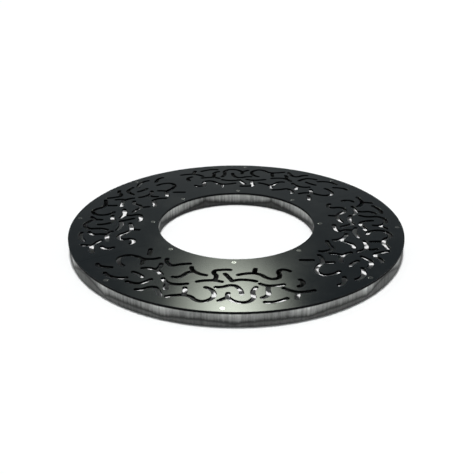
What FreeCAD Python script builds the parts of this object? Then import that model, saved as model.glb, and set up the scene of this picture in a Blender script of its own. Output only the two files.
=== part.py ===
import FreeCAD
import Part
import Sketcher
import cmath
import math
import os

# Driving dimensions of the grate, in millimetres and degrees.
SIZES = {
    "plate_radius": 600.0,
    "opening_radius": 282.5,
    "plate_thickness": 8.0,
    "seam_gap": 0.6,
    "slot_width": 15.5,
    "pattern_inner_margin": 71.5,
    "pattern_outer_margin": 43.0,
    "rim_depth": 45.0,
    "rim_thickness": 6.0,
    "rim_setback": 1.0,
    "bar_thickness": 6.0,
    "weld_gap": 0.3,
    "inner_screw_edge": 22.7,
    "inner_screw_angle": 13.2,
    "inner_screw_pitch": 45.0,
    "outer_screw_edge": 19.0,
    "outer_screw_angle": 15.7,
    "outer_screw_pitch": 40.0,
    "screw_diameter": 8.0,
    "screw_length": 25.0,
    "screw_head_diameter": 16.0,
    "screw_hole_clearance": 0.5,
    "screw_seat_clearance": 0.2,
    "screw_thread_clearance": 0.3,
    "lug_width": 36.0,
    "lug_overhang": 18.0,
    "lug_thickness": 10.0,
    "bolt_diameter": 10.0,
    "bolt_length": 30.0,
    "bolt_head_flats": 16.0,
    "bolt_head_height": 6.4,
    "bolt_hole_clearance": 0.5,
    "bolt_inset": 70.0,
    "washer_diameter": 20.0,
    "washer_thickness": 2.0,
    "nut_height": 8.4,
    "nut_thread_clearance": 0.3,
}

# Sizes that follow from the driving dimensions.
OUTER_RIM_FACE = "sizes.plate_radius - sizes.rim_setback"
OUTER_RIM_BACK = f"{OUTER_RIM_FACE} - sizes.rim_thickness"
INNER_RIM_FACE = "sizes.opening_radius + sizes.rim_setback"
INNER_RIM_BACK = f"{INNER_RIM_FACE} + sizes.rim_thickness"
BAR_START = f"{INNER_RIM_BACK} + sizes.weld_gap"
BAR_END = f"{OUTER_RIM_BACK} - sizes.weld_gap"
INNER_BOLT_PLACE = f"{INNER_RIM_BACK} + sizes.bolt_inset"
OUTER_BOLT_PLACE = f"{OUTER_RIM_BACK} - sizes.bolt_inset"
INNER_SCREW_PLACE = "sizes.opening_radius + sizes.inner_screw_edge"
OUTER_SCREW_PLACE = "sizes.plate_radius - sizes.outer_screw_edge"
INNER_LUG_END = f"{INNER_SCREW_PLACE} + sizes.lug_overhang"
OUTER_LUG_START = f"{OUTER_SCREW_PLACE} - sizes.lug_overhang"
OUTER_LUG_END = f"sqrt(({BAR_END}) ^ 2 - (sizes.lug_width / 2) ^ 2)"
HALF_SEAM = "sizes.seam_gap / 2"
SCREW_RADIUS = "sizes.screw_diameter / 2"
SCREW_HEAD_RADIUS = "sizes.screw_head_diameter / 2"
BOLT_RADIUS = "sizes.bolt_diameter / 2"
BOLT_HOLE_RADIUS = f"{BOLT_RADIUS} + sizes.bolt_hole_clearance"
BOLT_HEIGHT = "sizes.rim_depth / 2"
PLATE_TOP = "sizes.rim_depth + sizes.plate_thickness"

# The slot pattern was drawn on one quarter of the plate, between these two radii.
DRAWN_INNER_RADIUS = 354.0
DRAWN_OUTER_RADIUS = 557.0
QUARTER = 90.0
HALF_TURN = 180.0
QUARTERS_IN_HALF = 2
SCREWS_IN_QUARTER = 2

# Straight runs stand for round forms that repeat: the most a run leaves its curve, and the runs of each form.
RUN_SAGITTA = 1.4
SLOT_END_RUNS = 4
ROUND_SIDES = 8
HEXAGON_SIDES = 6

# Centrelines of the slots of one quarter: across the quarter's middle line, and outward along it.
SLOTS = [
    [(-226, 277), (-216, 315)],
    [(-270, 407), (-293, 388), (-303, 361), (-283, 337), (-252, 337), (-222, 347), (-196, 342), (-176, 329)],
    [(-148, 328), (-137, 354), (-120, 366), (-93, 352), (-66, 341)],
    [(-53, 362), (-43, 380), (-24, 393), (6, 400)],
    [(-203, 407), (-180, 401), (-158, 407), (-130, 431)],
    [(-223, 437), (-203, 445), (-184, 458)],
    [(-117, 452), (-104, 467), (-87, 476), (-62, 475), (-35, 465)],
    [(-307, 465), (-288, 479), (-260, 484), (-230, 476)],
    [(-219, 497), (-196, 502), (-176, 499), (-163, 485), (-151, 467)],
    [(-173, 535), (-155, 529), (-139, 513), (-122, 509), (-108, 523), (-91, 549)],
    [
        (-70, 550), (-46, 537), (-20, 530), (0, 534), (16, 546),
        (36, 551), (56, 539), (65, 516), (58, 492), (27, 471),
    ],
    [(95, 415), (116, 401), (140, 396), (166, 397)],
    [(-8, 444), (14, 432), (38, 425), (65, 427)],
    [
        (104, 373), (126, 358), (150, 350), (174, 355), (194, 368), (213, 371),
        (229, 360), (230, 342), (222, 324), (226, 308), (240, 303), (255, 308),
    ],
    [(57, 462), (76, 456), (92, 443), (109, 439), (125, 450), (142, 480)],
    [(102, 487), (106, 506), (121, 521), (146, 528), (171, 519), (181, 500), (171, 455), (175, 432)],
    [(183, 409), (208, 414), (232, 406), (253, 395)],
    [(220, 508), (244, 501), (264, 486), (278, 471)],
    [(257, 416), (279, 425), (303, 428), (327, 419), (349, 405)],
    [(297, 353), (307, 364), (309, 379), (300, 394)],
    [(-355, 417), (-346, 426), (-325, 429), (-302, 427)],
]

# Side branches that fork off those slots, each starting on the centreline of its slot.
FORKS = [
    [(-220, 348), (-219, 364), (-214, 382)],
    [(-36, 388), (-54, 397), (-61, 414), (-71, 430), (-90, 436)],
    [(-158, 406), (-153, 386), (-155, 365)],
    [(-91, 475), (-93, 495), (-85, 511)],
    [(-24, 530), (-26, 510), (-33, 489)],
    [(95, 415), (78, 394), (62, 377)],
    [(41, 425), (41, 408), (37, 392), (27, 382), (25, 368), (44, 355), (71, 348)],
    [(150, 350), (147, 322)],
    [(107, 508), (87, 534)],
    [(210, 414), (213, 438), (220, 461), (207, 486)],
    [(302, 428), (305, 447), (306, 464)],
]

ORIGIN = FreeCAD.Vector(0, 0, 0)
UP = FreeCAD.Vector(0, 0, 1)
ALONG_X = FreeCAD.Vector(1, 0, 0)
STRAIGHT = 1e-6

doc = FreeCAD.newDocument("tree_grate")
sheet = doc.addObject("Spreadsheet::Sheet", "sizes")
pieces = []


def fill_sheet():
    """Writes each driving dimension into the sheet under its own name."""
    for row, (alias, amount) in enumerate(SIZES.items(), start=1):
        sheet.set(f"A{row}", alias)
        sheet.set(f"B{row}", str(amount))
        sheet.setAlias(f"B{row}", alias)
    doc.recompute()


def size(formula):
    """Gives the present value of a formula over the sheet's sizes."""
    return float(probe.evalExpression(formula))


def keep(piece, label):
    """Names a finished piece and lists it for writing."""
    piece.Label = label
    pieces.append(piece)


def turned(angle, offset=ORIGIN):
    """Placement turned about the upright axis, then moved."""
    return FreeCAD.Placement(offset, FreeCAD.Rotation(UP, angle))


def on_circle(radius, angle):
    """Point of a circle round the origin at an angle in radians."""
    return FreeCAD.Vector(radius * math.cos(angle), radius * math.sin(angle), 0)


def origin_feature(body, role):
    """Finds one of the body's own planes or axes."""
    return next(item for item in body.Origin.OriginFeatures if item.Role == role)


def new_sketch(body, name):
    """Adds an empty sketch on the body's level plane."""
    sketch = body.newObject("Sketcher::SketchObject", name)
    sketch.AttachmentSupport = [(origin_feature(body, "XY_Plane"), "")]
    sketch.MapMode = "FlatFace"
    return sketch


def hold(sketch, name, formula, kind, *where):
    """Adds a dimension to a sketch and ties it to the sheet."""
    index = sketch.addConstraint(Sketcher.Constraint(kind, *where, size(formula)))
    sketch.renameConstraint(index, name)
    sketch.setExpression(f"Constraints.{name}", formula)


def half_ring_arc(radius):
    """Arc round the origin on the side of positive Y, stopping half a seam gap short of the seam."""
    start = math.asin(size(HALF_SEAM) / radius)
    return Part.ArcOfCircle(Part.Circle(ORIGIN, UP, radius), start, math.pi - start)


def make_half_ring(name, outer, inner, height):
    """Body of an upright half ring whose straight ends stand back from the seam."""
    body = doc.addObject("PartDesign::Body", name)
    sketch = new_sketch(body, f"{name}_plan")
    outer_arc = half_ring_arc(size(outer))
    inner_arc = half_ring_arc(size(inner))
    sketch.addGeometry(outer_arc)
    sketch.addGeometry(Part.LineSegment(outer_arc.EndPoint, inner_arc.EndPoint))
    sketch.addGeometry(inner_arc)
    sketch.addGeometry(Part.LineSegment(inner_arc.StartPoint, outer_arc.StartPoint))
    for ends in [(0, 2, 1, 1), (1, 2, 2, 2), (2, 1, 3, 1), (3, 2, 0, 1), (0, 3, -1, 1), (2, 3, -1, 1)]:
        sketch.addConstraint(Sketcher.Constraint("Coincident", *ends))
    sketch.addConstraint(Sketcher.Constraint("Horizontal", 1))
    sketch.addConstraint(Sketcher.Constraint("Horizontal", 3))
    hold(sketch, "outer", outer, "Radius", 0)
    hold(sketch, "inner", inner, "Radius", 2)
    hold(sketch, "left_end", HALF_SEAM, "DistanceY", -1, 1, 1, 1)
    hold(sketch, "right_end", HALF_SEAM, "DistanceY", -1, 1, 3, 1)
    pad = body.newObject("PartDesign::Pad", f"{name}_pad")
    pad.Profile = sketch
    pad.setExpression("Length", height)
    sketch.Visibility = False
    return body


def place_on_plate(across, outward):
    """Moves a drawn point of the pattern to its place between the plate's own margins."""
    inner = size("sizes.opening_radius + sizes.pattern_inner_margin")
    outer = size("sizes.plate_radius - sizes.pattern_outer_margin")
    share = (math.hypot(across, outward) - DRAWN_INNER_RADIUS) / (DRAWN_OUTER_RADIUS - DRAWN_INNER_RADIUS)
    angle = math.radians(QUARTER / 2) + math.atan2(across, outward)
    return cmath.rect(inner + share * (outer - inner), angle)


def unit(step):
    """Unit vector of a plane vector held as a complex number."""
    return step / abs(step)


def mirror_in(direction, chord):
    """Direction at the far end of an arc that leaves its chord's start in the given direction."""
    along = unit(chord)
    return along * along * direction.conjugate()


def path_directions(points):
    """Direction of a smooth path at each of its points."""
    if len(points) == 2:
        return [unit(points[1] - points[0])] * 2
    inner = []
    for before, here, after in zip(points, points[1:], points[2:]):
        arriving = here - before
        leaving = after - here
        inner.append(unit(unit(arriving) * abs(leaving) + unit(leaving) * abs(arriving)))
    first = mirror_in(inner[0], points[0] - points[1])
    last = mirror_in(inner[-1], points[-1] - points[-2])
    return [first] + inner + [last]


def arc_chain(points):
    """Smooth path through the points as tangent arcs, each given by start, end, and the directions there."""
    directions = path_directions(points)
    chain = []
    for start, end, leaving, arriving in zip(points, points[1:], directions, directions[1:]):
        chord = end - start
        if abs(mirror_in(leaving, chord) - arriving) < STRAIGHT:
            chain.append((start, end, leaving, arriving))
            continue
        spread = 2 * (1 - (leaving.conjugate() * arriving).real)
        lean = (chord.conjugate() * (leaving + arriving)).real
        if spread < STRAIGHT:
            reach = abs(chord) ** 2 / (2 * lean)
        else:
            reach = (math.sqrt(lean ** 2 + spread * abs(chord) ** 2) - lean) / spread
        middle = (start + end + reach * (leaving - arriving)) / 2
        turning = mirror_in(leaving, middle - start)
        chain.append((start, middle, leaving, turning))
        chain.append((middle, end, turning, arriving))
    return chain


def arc_need(start, end, leaving, arriving):
    """Share of a path's straight runs that an arc needs for one and the same sagitta everywhere."""
    return math.sqrt(abs(cmath.phase(arriving / leaving)) * abs(end - start))


def arc_station(start, end, leaving, arriving, share):
    """Point and direction at a share of the way along an arc."""
    turn = cmath.phase(arriving / leaving)
    step = share
    if abs(turn) > STRAIGHT:
        step = math.sin(share * turn / 2) / math.sin(turn / 2)
    heading = leaving * cmath.rect(1, share * turn / 2)
    return start + step * abs(end - start) * heading, leaving * cmath.rect(1, share * turn)


def path_stations(centreline):
    """Points and directions along a slot's centreline, closer together where it bends more."""
    chain = arc_chain([place_on_plate(across, outward) for across, outward in centreline])
    needs = [arc_need(*piece) for piece in chain]
    runs = max(1, round(sum(needs) / math.sqrt(8 * RUN_SAGITTA)))
    stations = [arc_station(*chain[0], 0)]
    passed = 0.0
    for piece, need in zip(chain, needs):
        while len(stations) < runs and len(stations) * sum(needs) / runs <= passed + need:
            share = (len(stations) * sum(needs) / runs - passed) / need
            stations.append(arc_station(*piece, share))
        passed += need
    stations.append(arc_station(*chain[-1], 1))
    return stations


def slot_end(tip, outward, half_width):
    """Corners of a slot's rounded end, from one side of the slot to the other."""
    turns = [math.pi * (run / SLOT_END_RUNS - 0.5) for run in range(SLOT_END_RUNS + 1)]
    return [tip + half_width * outward * cmath.rect(1, turn) for turn in turns]


def slot_corners(centreline, half_width, rounded_start):
    """Corners of the closed outline of a slot of even width, in order round it."""
    stations = path_stations(centreline)
    right = [point - 1j * half_width * direction for point, direction in stations[1:-1]]
    left = [point + 1j * half_width * direction for point, direction in stations[1:-1]]
    tip, direction = stations[0]
    start = [tip + 1j * half_width * direction, tip - 1j * half_width * direction]
    if rounded_start:
        start = slot_end(tip, -direction, half_width)
    return start + right + slot_end(*stations[-1], half_width) + left[::-1]


def cut_slots(body, name, centrelines, rounded_start):
    """Cuts one set of slots right through the plate, upwards from its underside."""
    sketch = new_sketch(body, name)
    half_width = size("sizes.slot_width / 2")
    for centreline in centrelines:
        outline = slot_corners(centreline, half_width, rounded_start)
        corners = [FreeCAD.Vector(corner.real, corner.imag, 0) for corner in outline]
        for start, end in zip(corners, corners[1:] + corners[:1]):
            sketch.addGeometry(Part.LineSegment(start, end))
    pocket = body.newObject("PartDesign::Pocket", f"{name}_cut")
    pocket.Profile = sketch
    pocket.Type = "ThroughAll"
    pocket.Reversed = True
    sketch.Visibility = False
    return pocket


def prism(name, sides, radius, height, base="0"):
    """Upright prism with even sides, given by the radius of its corners and the height of its foot."""
    solid = doc.addObject("Part::Prism", name)
    solid.Polygon = sides
    solid.setExpression("Circumradius", radius)
    solid.setExpression("Height", height)
    solid.setExpression("Placement.Base.z", base)
    return solid


def box(name, length, width, height):
    """Upright box tied to the sheet."""
    solid = doc.addObject("Part::Box", name)
    solid.setExpression("Length", length)
    solid.setExpression("Width", width)
    solid.setExpression("Height", height)
    return solid


def combine(kind, name, base, tool):
    """Boolean of two solids."""
    result = doc.addObject(kind, name)
    result.Base = base
    result.Tool = tool
    return result


def copies(name, master, placements):
    """Compound of separate copies of one solid."""
    links = []
    for number, placement in enumerate(placements, start=1):
        link = doc.addObject("App::Link", f"{name}_{number}")
        link.LinkedObject = master
        link.LinkPlacement = placement
        links.append(link)
    group = doc.addObject("Part::Compound", name)
    group.Links = links
    return group


def make_screw_form(name, head_radius, shank_radius, length):
    """Countersunk form with its flat top at height zero and its shank below."""
    section_heights = {"rim": (head_radius, "0"), "neck": (shank_radius, f"{shank_radius} - ({head_radius})")}
    sections = []
    for part, (radius, height) in section_heights.items():
        section = doc.addObject("Part::RegularPolygon", f"{name}_{part}")
        section.Polygon = ROUND_SIDES
        section.setExpression("Circumradius", radius)
        section.setExpression("Placement.Base.z", height)
        sections.append(section)
    head = doc.addObject("Part::Loft", f"{name}_head")
    head.Sections = sections
    head.Solid = True
    head.Ruled = True
    shank = prism(f"{name}_shank", ROUND_SIDES, shank_radius, length, f"-({length})")
    return combine("Part::Fuse", name, head, shank)


def screw_angles(ring):
    """Angles of one half's screws on the inner or outer circle."""
    first = size(f"sizes.{ring}_screw_angle")
    pitch = size(f"sizes.{ring}_screw_pitch")
    starts = [QUARTER * quarter + first for quarter in range(QUARTERS_IN_HALF)]
    return [start + pitch * step for start in starts for step in range(SCREWS_IN_QUARTER)]


def screw_placements(turn, height):
    """Placements of the screws of one half, their flat tops at a height."""
    placements = []
    for ring, place in (("inner", INNER_SCREW_PLACE), ("outer", OUTER_SCREW_PLACE)):
        for angle in screw_angles(ring):
            centre = on_circle(size(place), math.radians(angle + turn))
            placements.append(turned(angle + turn, centre + UP * height))
    return placements


def make_plate_half(label, turn, screw_hole):
    """Half of the slotted top plate, with countersunk screw holes."""
    edges = ("sizes.plate_radius", "sizes.opening_radius")
    body = make_half_ring(f"{label}_body", *edges, "sizes.plate_thickness")
    slots = cut_slots(body, f"{label}_slots", SLOTS, True)
    forks = cut_slots(body, f"{label}_forks", FORKS, False)
    repeat = body.newObject("PartDesign::PolarPattern", f"{label}_repeat")
    repeat.Originals = [slots, forks]
    repeat.Axis = (origin_feature(body, "Z_Axis"), [""])
    repeat.Angle = QUARTER
    repeat.Occurrences = QUARTERS_IN_HALF
    body.Tip = repeat
    holes = copies(f"{label}_holes", screw_hole, screw_placements(0, size("sizes.plate_thickness")))
    plate = combine("Part::Cut", label, body, holes)
    plate.Placement = turned(turn, UP * size("sizes.rim_depth"))
    keep(plate, label)


def make_rim(label, turn, outer, inner):
    """Half ring of flat bar rolled on edge, which carries the plate's border."""
    body = make_half_ring(label, outer, inner, "sizes.rim_depth")
    body.Placement = turned(turn)
    keep(body, label)


def make_middle_bar(label, turn):
    """Flat bar on edge between the two rims, halfway round one half."""
    bar = box(label, f"{BAR_END} - ({BAR_START})", "sizes.bar_thickness", "sizes.rim_depth")
    corner = FreeCAD.Vector(size(BAR_START), -size("sizes.bar_thickness / 2"), 0)
    bar.Placement = turned(turn) * turned(0, corner)
    keep(bar, label)


def make_end_bar(label, side, facing, bolt_hole):
    """Flat bar on edge along the seam, drilled for two bolts to its twin on the other half."""
    bar = box(f"{label}_flat", f"{BAR_END} - ({BAR_START})", "sizes.bar_thickness", "sizes.rim_depth")
    across = min(0.0, facing * size("sizes.bar_thickness"))
    near_end = size(BAR_START) if side > 0 else -size(BAR_END)
    bar.Placement = turned(0, FreeCAD.Vector(near_end, across, 0))
    bores = copies(f"{label}_bores", bolt_hole, bolt_placements((side,), 0.0, facing))
    keep(combine("Part::Cut", label, bar, bores), label)


def make_lug(label, angle, start, end, screw_place):
    """Flat lug welded to the back of a rim, with the hole that takes one screw."""
    flat = box(f"{label}_flat", f"{end} - ({start})", "sizes.lug_width", "sizes.lug_thickness")
    flat.Placement = turned(0, FreeCAD.Vector(size(start), -size("sizes.lug_width / 2"), 0))
    bore_radius = f"{SCREW_RADIUS} + sizes.screw_thread_clearance"
    bore = prism(f"{label}_bore", ROUND_SIDES, bore_radius, "sizes.lug_thickness")
    bore.setExpression("Placement.Base.x", screw_place)
    lug = combine("Part::Cut", label, flat, bore)
    lug.Placement = turned(angle, UP * size("sizes.rim_depth - sizes.lug_thickness"))
    keep(lug, label)


def bolt_placements(sides, distance_from_seam, facing):
    """Placements on the bolt axes of each side, pointing away from the seam."""
    tilt = FreeCAD.Rotation(ALONG_X, -QUARTER * facing)
    placements = []
    for place in (size(INNER_BOLT_PLACE), size(OUTER_BOLT_PLACE)):
        for side in sides:
            base = FreeCAD.Vector(side * place, facing * distance_from_seam, size(BOLT_HEIGHT))
            placements.append(FreeCAD.Placement(base, tilt))
    return placements


def make_bolt():
    """Hexagon bolt, its head above height zero and its shank below."""
    head = prism("bolt_head", HEXAGON_SIDES, "sizes.bolt_head_flats / sqrt(3)", "sizes.bolt_head_height")
    shank = prism("bolt_shank", ROUND_SIDES, BOLT_RADIUS, "sizes.bolt_length", "-sizes.bolt_length")
    return combine("Part::Fuse", "bolt", head, shank)


def make_pierced(name, sides, radius, height, bore_radius):
    """Washer or nut standing on height zero."""
    block = prism(f"{name}_block", sides, radius, height)
    bore = prism(f"{name}_bore", ROUND_SIDES, bore_radius, height)
    return combine("Part::Cut", name, block, bore)


def make_seam_fasteners():
    """Bolts, washers and nuts that draw the two frame halves together at the seam."""
    sides = (1, -1)
    clamp_face = size("sizes.bar_thickness")
    washer_face = size("sizes.bar_thickness + sizes.washer_thickness")
    washer = make_pierced("washer", ROUND_SIDES, "sizes.washer_diameter / 2", "sizes.washer_thickness",
                          BOLT_HOLE_RADIUS)
    nut = make_pierced("nut", HEXAGON_SIDES, "sizes.bolt_head_flats / sqrt(3)", "sizes.nut_height",
                       f"{BOLT_RADIUS} + sizes.nut_thread_clearance")
    washer_places = bolt_placements(sides, clamp_face, 1) + bolt_placements(sides, clamp_face, -1)
    keep(copies("seam_bolts", make_bolt(), bolt_placements(sides, washer_face, 1)), "seam_bolts")
    keep(copies("seam_washers", washer, washer_places), "seam_washers")
    keep(copies("seam_nuts", nut, bolt_placements(sides, washer_face, -1)), "seam_nuts")


def make_half(letter, turn, screw, screw_hole, bolt_hole):
    """Everything that belongs to one half of the grate."""
    facing = 1 if turn == 0 else -1
    make_plate_half(f"plate_half_{letter}", turn, screw_hole)
    screws = copies(f"plate_screws_{letter}", screw, screw_placements(turn, size(PLATE_TOP)))
    keep(screws, f"plate_screws_{letter}")
    make_rim(f"outer_rim_{letter}", turn, OUTER_RIM_FACE, OUTER_RIM_BACK)
    make_rim(f"inner_rim_{letter}", turn, INNER_RIM_BACK, INNER_RIM_FACE)
    make_end_bar(f"end_bar_{letter}_right", 1, facing, bolt_hole)
    make_end_bar(f"end_bar_{letter}_left", -1, facing, bolt_hole)
    make_middle_bar(f"middle_bar_{letter}", turn + QUARTER)
    inner_lug = (BAR_START, INNER_LUG_END, INNER_SCREW_PLACE)
    outer_lug = (OUTER_LUG_START, OUTER_LUG_END, OUTER_SCREW_PLACE)
    for ring, places in (("inner", inner_lug), ("outer", outer_lug)):
        for number, angle in enumerate(screw_angles(ring), start=1):
            make_lug(f"{ring}_lug_{letter}{number}", turn + angle, *places)


def make_grate():
    """Both halves of the grate and the fasteners between them."""
    screw = make_screw_form("plate_screw", SCREW_HEAD_RADIUS, SCREW_RADIUS, "sizes.screw_length")
    screw_hole = make_screw_form(
        "screw_hole",
        f"{SCREW_HEAD_RADIUS} + sizes.screw_seat_clearance",
        f"{SCREW_RADIUS} + sizes.screw_hole_clearance",
        "2 * sizes.plate_thickness",
    )
    drill = "2 * sizes.bar_thickness"
    bolt_hole = prism("bolt_hole", ROUND_SIDES, BOLT_HOLE_RADIUS, drill, "-sizes.bar_thickness / 2")
    make_half("a", 0.0, screw, screw_hole, bolt_hole)
    make_half("b", HALF_TURN, screw, screw_hole, bolt_hole)
    make_seam_fasteners()


def check_model():
    """Stops the build if any object failed or any piece is empty or invalid."""
    doc.recompute()
    for item in doc.Objects:
        if "Invalid" in item.State or "Error" in item.State:
            raise RuntimeError(f"{item.Name} failed: {item.State}")
    for piece in pieces:
        if piece.Shape.isNull() or not piece.Shape.isValid():
            raise RuntimeError(f"{piece.Label} has no valid shape")


def write_pieces():
    """Writes each piece to a file of its own name."""
    os.makedirs("parts", exist_ok=True)
    for piece in pieces:
        piece.Shape.exportStep(f"parts/{piece.Label}.step")
        print(piece.Label, len(piece.Shape.Solids), round(piece.Shape.Volume))


fill_sheet()
probe = doc.addObject("App::FeaturePython", "probe")
make_grate()
check_model()
write_pieces()
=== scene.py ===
"""Looks of a round steel tree grate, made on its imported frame."""

import logging
import math
from collections.abc import Callable, Mapping, Sequence
from dataclasses import dataclass, field, replace
from enum import Enum
from itertools import chain
from typing import Any

import bmesh
import bpy
import numpy as np
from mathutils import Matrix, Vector
from mathutils.geometry import delaunay_2d_cdt


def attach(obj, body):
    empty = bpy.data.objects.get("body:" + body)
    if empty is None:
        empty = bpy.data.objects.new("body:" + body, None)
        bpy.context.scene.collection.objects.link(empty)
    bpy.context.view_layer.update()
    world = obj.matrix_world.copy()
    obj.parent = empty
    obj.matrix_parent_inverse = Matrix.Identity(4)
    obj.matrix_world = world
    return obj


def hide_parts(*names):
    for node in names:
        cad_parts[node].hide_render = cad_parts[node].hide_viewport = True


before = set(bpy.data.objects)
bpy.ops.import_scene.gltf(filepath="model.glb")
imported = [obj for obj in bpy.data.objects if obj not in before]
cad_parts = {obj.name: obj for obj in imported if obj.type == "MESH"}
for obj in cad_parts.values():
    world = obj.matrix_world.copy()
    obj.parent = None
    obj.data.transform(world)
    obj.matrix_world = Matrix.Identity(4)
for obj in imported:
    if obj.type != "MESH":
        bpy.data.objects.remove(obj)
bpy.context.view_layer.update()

LOG = logging.getLogger("tree_grate")
MM = 0.001
SAME_PLACE = 1e-6

Colour = tuple[float, float, float, float]
Point = tuple[float, float, float]
Triple = tuple[float, float, float]
Pair = tuple[float, float]


class Half(Enum):
    """The two halves of the grate: its letter, and the sign that turns half a there."""

    A = ("a", 1.0)
    B = ("b", -1.0)

    @property
    def letter(self) -> str:
        """The letter in the names of this half's pieces."""
        return self.value[0]

    @property
    def turn(self) -> np.ndarray:
        """Factors on x, y and z that give the half turn round the upright axis."""
        return np.array([self.value[1], self.value[1], 1.0])

    @property
    def body(self) -> str:
        """The moving body that this half's plate belongs to."""
        return f"plate_{self.letter}"


class Slot(Enum):
    """Names of the material slots."""

    PLATE = "plate"
    GALVANISED = "galvanised"
    SCREW = "screw"
    FASTENER = "fastener"


class MarkShape(Enum):
    """Shape of the marks that repeat along a zinc band: dull arches, or pale lobes with dark gaps.
    """

    ARCHES = "arches"
    LOBES = "lobes"


def math_method(operation: str, swapped: bool = False) -> Callable[..., "Wire"]:
    """A method of wires for one operation.

    Args:
        operation: what its Math node does.
        swapped: whether the other value comes first.

    Returns:
        The method, which adds the node and gives its output.
    """

    def method(wire: "Wire", other: Any = 0.0) -> "Wire":
        """Adds the node for a wire and another value, which some operations don't read."""
        first, second = (other, wire) if swapped else (wire, other)
        return wire.recipe.add("ShaderNodeMath", {"operation": operation}, {0: first, 1: second})

    return method


class Wire:
    """A shader socket that takes part in sums as a number does."""

    def __init__(self, recipe: "Recipe", socket: bpy.types.NodeSocket) -> None:
        """Keeps the socket and the recipe that its next nodes go into."""
        self.recipe = recipe
        self.socket = socket

    __add__, __radd__ = math_method("ADD"), math_method("ADD", swapped=True)
    __sub__, __rsub__ = math_method("SUBTRACT"), math_method("SUBTRACT", swapped=True)
    __mul__, __rmul__ = math_method("MULTIPLY"), math_method("MULTIPLY", swapped=True)
    __truediv__, __pow__ = math_method("DIVIDE"), math_method("POWER")
    __abs__, fraction = math_method("ABSOLUTE"), math_method("FRACT")
    angle_over = math_method("ARCTAN2")

    def ramp(self, low: float, high: float) -> "Wire":
        """Smooth step from 0 at the low value to 1 at the high one."""
        ends = {"Value": self, "From Min": low, "From Max": high}
        return self.recipe.add("ShaderNodeMapRange", {"interpolation_type": "SMOOTHSTEP"}, ends)


def set_stops(ramp: bpy.types.ColorRamp, stops: Sequence[tuple[float, Colour]]) -> None:
    """Gives a colour ramp its stops.

    Args:
        ramp: the colour ramp.
        stops: place and colour of each stop, in order.
    """
    while len(ramp.elements) > 1:
        ramp.elements.remove(ramp.elements[-1])
    ramp.elements[0].position, ramp.elements[0].color = stops[0]
    for position, colour in stops[1:]:
        ramp.elements.new(position).color = colour


@dataclass(frozen=True)
class Noise:
    """A cloudy pattern.

    Attributes:
        scale: how fine it is.
        detail: how many finer layers it has.
        rough: how strong those are.
        upright: factor on the height, under 1 for a pattern drawn out upright.
    """

    scale: float
    detail: float = 2.0
    rough: float = 0.5
    upright: float = 1.0


class Recipe:
    """One material, or the surroundings, while its nodes are put together."""

    def __init__(self, owner: bpy.types.Material | bpy.types.World) -> None:
        """Starts with no nodes.

        Args:
            owner: what the nodes are for.
        """
        owner.use_nodes = True
        self.owner = owner
        self.tree = owner.node_tree
        self.tree.nodes.clear()

    def add(
        self, kind: str, settings: Mapping[str, Any], sockets: Mapping[Any, Any], out: Any = 0
    ) -> Wire:
        """Adds a node.

        Args:
            kind: the node's type.
            settings: its settings, which are set first.
            sockets: values or wires for its inputs, by name or number.
            out: name or number of the output that is wanted.

        Returns:
            That output.
        """
        node = self.tree.nodes.new(kind)
        for key, value in settings.items():
            if key == "stops":
                set_stops(node.color_ramp, value)
            else:
                setattr(node, key, value)
        for key, value in sockets.items():
            if isinstance(value, Wire):
                self.tree.links.new(value.socket, node.inputs[key])
            else:
                node.inputs[key].default_value = value
        return Wire(self, node.outputs[out])

    def place(self) -> Wire:
        """Where a point is, in metres in the frame of the whole object."""
        return self.add("ShaderNodeTexCoord", {}, {}, "Object")

    def split(self, vector: Wire) -> tuple[Wire, Wire, Wire]:
        """The three coordinates of a vector."""
        node = self.add("ShaderNodeSeparateXYZ", {}, {"Vector": vector}).socket.node
        return Wire(self, node.outputs[0]), Wire(self, node.outputs[1]), Wire(self, node.outputs[2])

    def noise(self, place: Wire, kind: Noise) -> Wire:
        """Cloudy values about one half.

        Args:
            place: where a point is.
            kind: the pattern.

        Returns:
            The values.
        """
        if kind.upright != 1.0:
            drawn_out = {0: place, 1: (1.0, 1.0, kind.upright)}
            place = self.add("ShaderNodeVectorMath", {"operation": "MULTIPLY"}, drawn_out)
        finer = {"Detail": kind.detail, "Roughness": kind.rough}
        return self.add("ShaderNodeTexNoise", {}, {"Vector": place, "Scale": kind.scale, **finer})

    def mix(self, share: Any, first: Any, second: Any) -> Wire:
        """A colour between two others."""
        sockets = {0: share, 6: first, 7: second}
        return self.add("ShaderNodeMix", {"data_type": "RGBA"}, sockets, 2)

    def bump(self, height: Wire, depth: float) -> Wire:
        """A normal that follows a height of the given depth in metres."""
        sockets = {"Height": height, "Distance": depth, "Strength": 1.0}
        return self.add("ShaderNodeBump", {}, sockets)

    def close(self, shader: Wire, output: str) -> None:
        """Joins the shader to an output node of the given type."""
        self.tree.links.new(shader.socket, self.tree.nodes.new(output).inputs["Surface"])


@dataclass(frozen=True)
class Finish:
    """What a surface is made of: its colours and patterns, and how they feed its shader."""

    name: str
    SHADER = "ShaderNodeBsdfPrincipled"

    def sockets(self, recipe: Recipe) -> dict[str, Any]:
        """Values and wires for the shader's inputs."""
        raise NotImplementedError

    def material(self) -> bpy.types.Material:
        """Makes the material.

        Returns:
            The material, with its nodes joined.
        """
        recipe = Recipe(bpy.data.materials.new(self.name))
        shader = recipe.add(self.SHADER, {}, self.sockets(recipe))
        recipe.close(shader, "ShaderNodeOutputMaterial")
        return recipe.owner


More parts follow.
